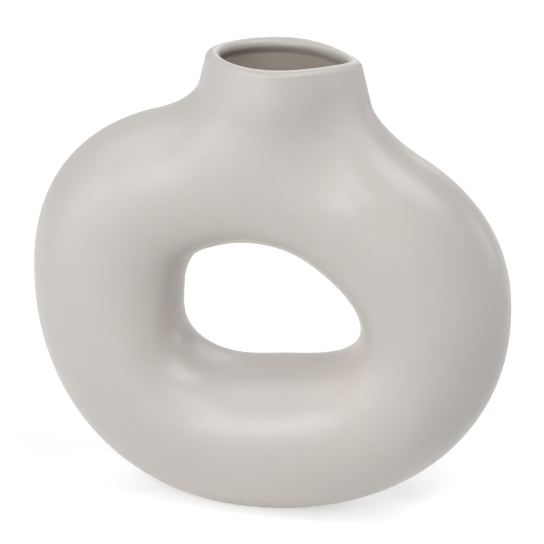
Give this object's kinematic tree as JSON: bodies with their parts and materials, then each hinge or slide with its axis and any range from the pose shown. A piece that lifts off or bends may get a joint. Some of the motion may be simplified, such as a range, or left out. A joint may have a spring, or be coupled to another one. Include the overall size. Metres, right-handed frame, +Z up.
{
  "type": "donut vase",
  "caption": "Ring-shaped ceramic vase with a soft-cornered oval hole, a short flared neck and a pinched oval mouth, for stems and water.",
  "frame": {"origin": "centre of the bounding box in plan, on the flat foot that stands on the table", "axes": "+X to the viewer's right along the ring, +Y away from the viewer through the hole, +Z up towards the mouth"},
  "size_m": [0.21, 0.062, 0.2027],
  "materials": {
    "body": "smooth matte glaze, warm off-white"
  },
  "bodies": {
    "root": {"front_shell": "body", "back_shell": "body", "neck_collar": "body"}
  },
  "joints": []
}
